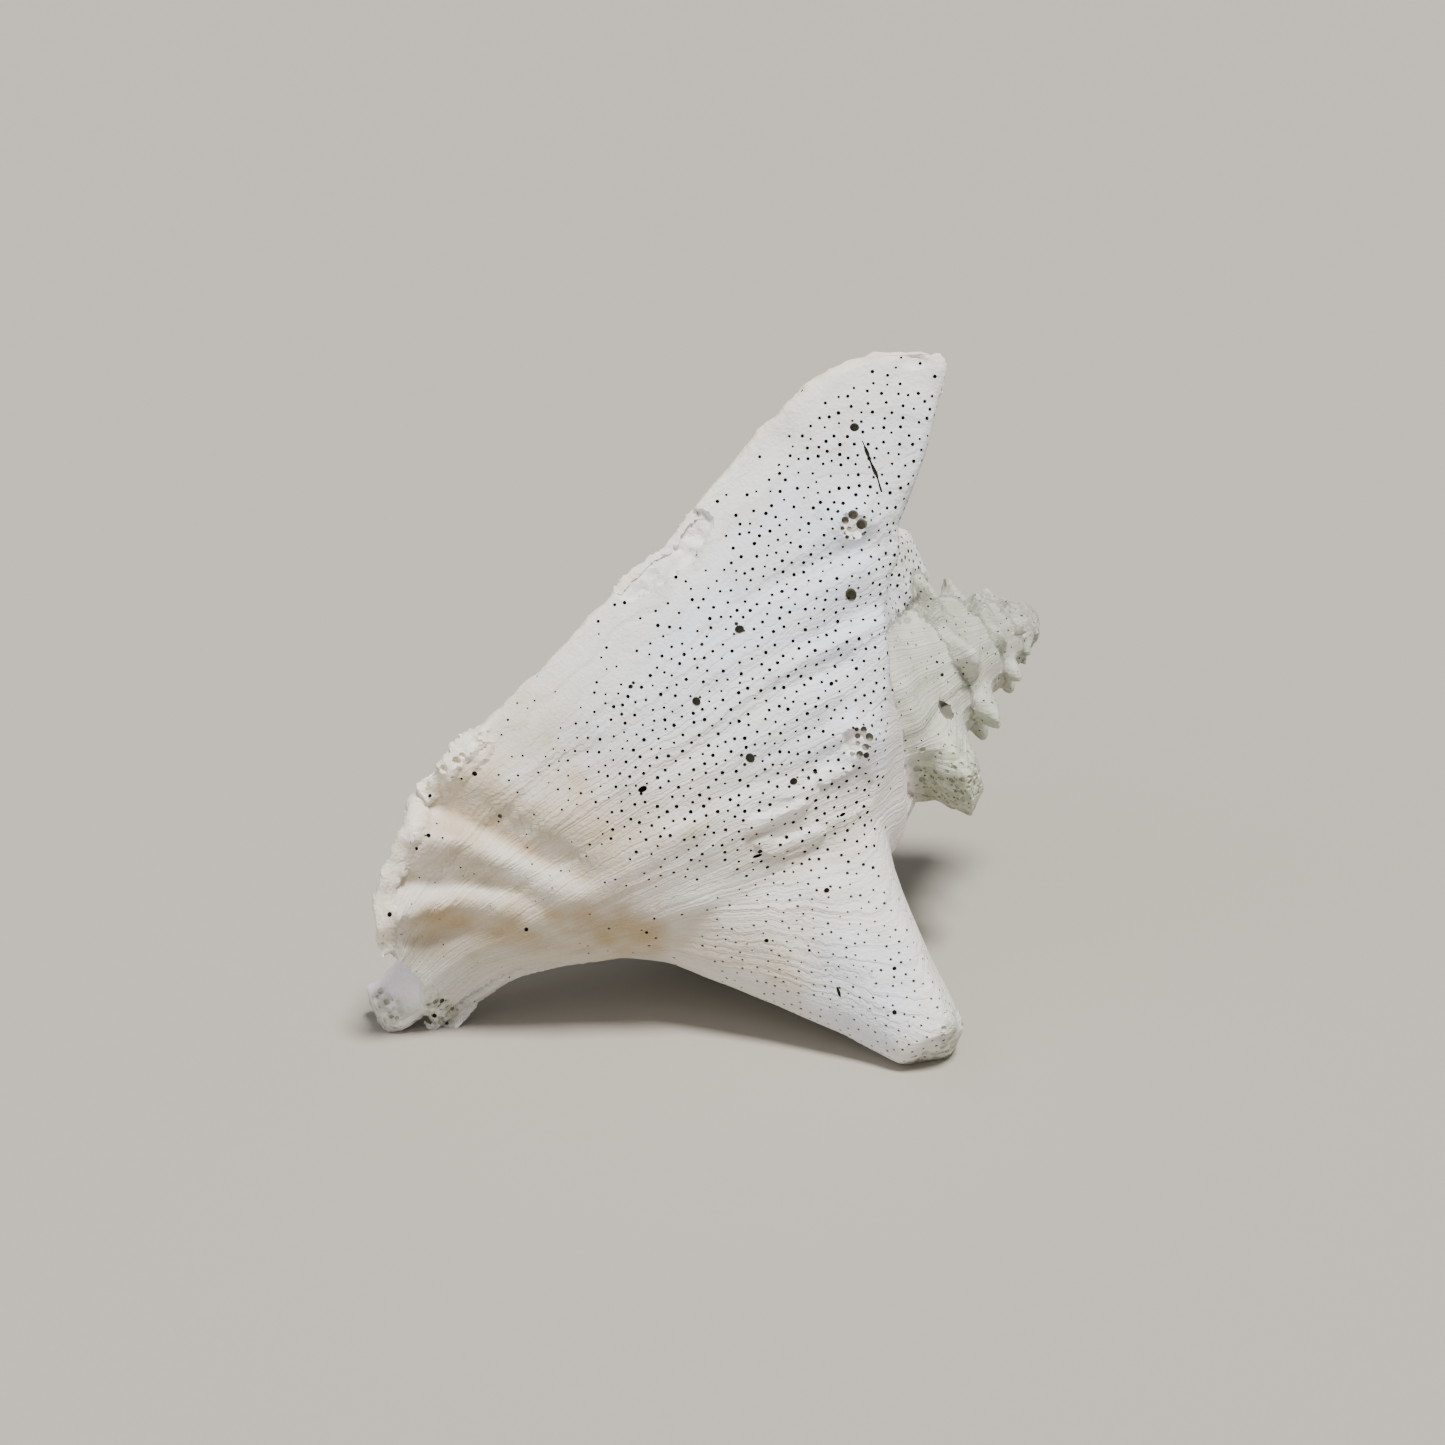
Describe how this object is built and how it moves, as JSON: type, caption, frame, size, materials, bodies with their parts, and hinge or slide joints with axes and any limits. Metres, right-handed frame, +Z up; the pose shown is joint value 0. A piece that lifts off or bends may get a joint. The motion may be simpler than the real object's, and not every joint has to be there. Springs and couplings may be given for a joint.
{
  "type": "conch shell",
  "caption": "Large weathered conch shell with a flared lip standing up like a wing, a spiny spire and a long shoulder spine, resting on its canal and spines as a decoration.",
  "frame": {"origin": "bottom centre of the bounding box, on the plane the shell rests on", "axes": "+Z up as the shell stands; -Y towards the side that the lip's outer face looks to; +X towards the spire's tip"},
  "size_m": [0.1995, 0.1542, 0.1935],
  "materials": {
    "bleached_shell": null
  },
  "bodies": {
    "root": {"conch_shell": "bleached_shell"}
  },
  "joints": []
}
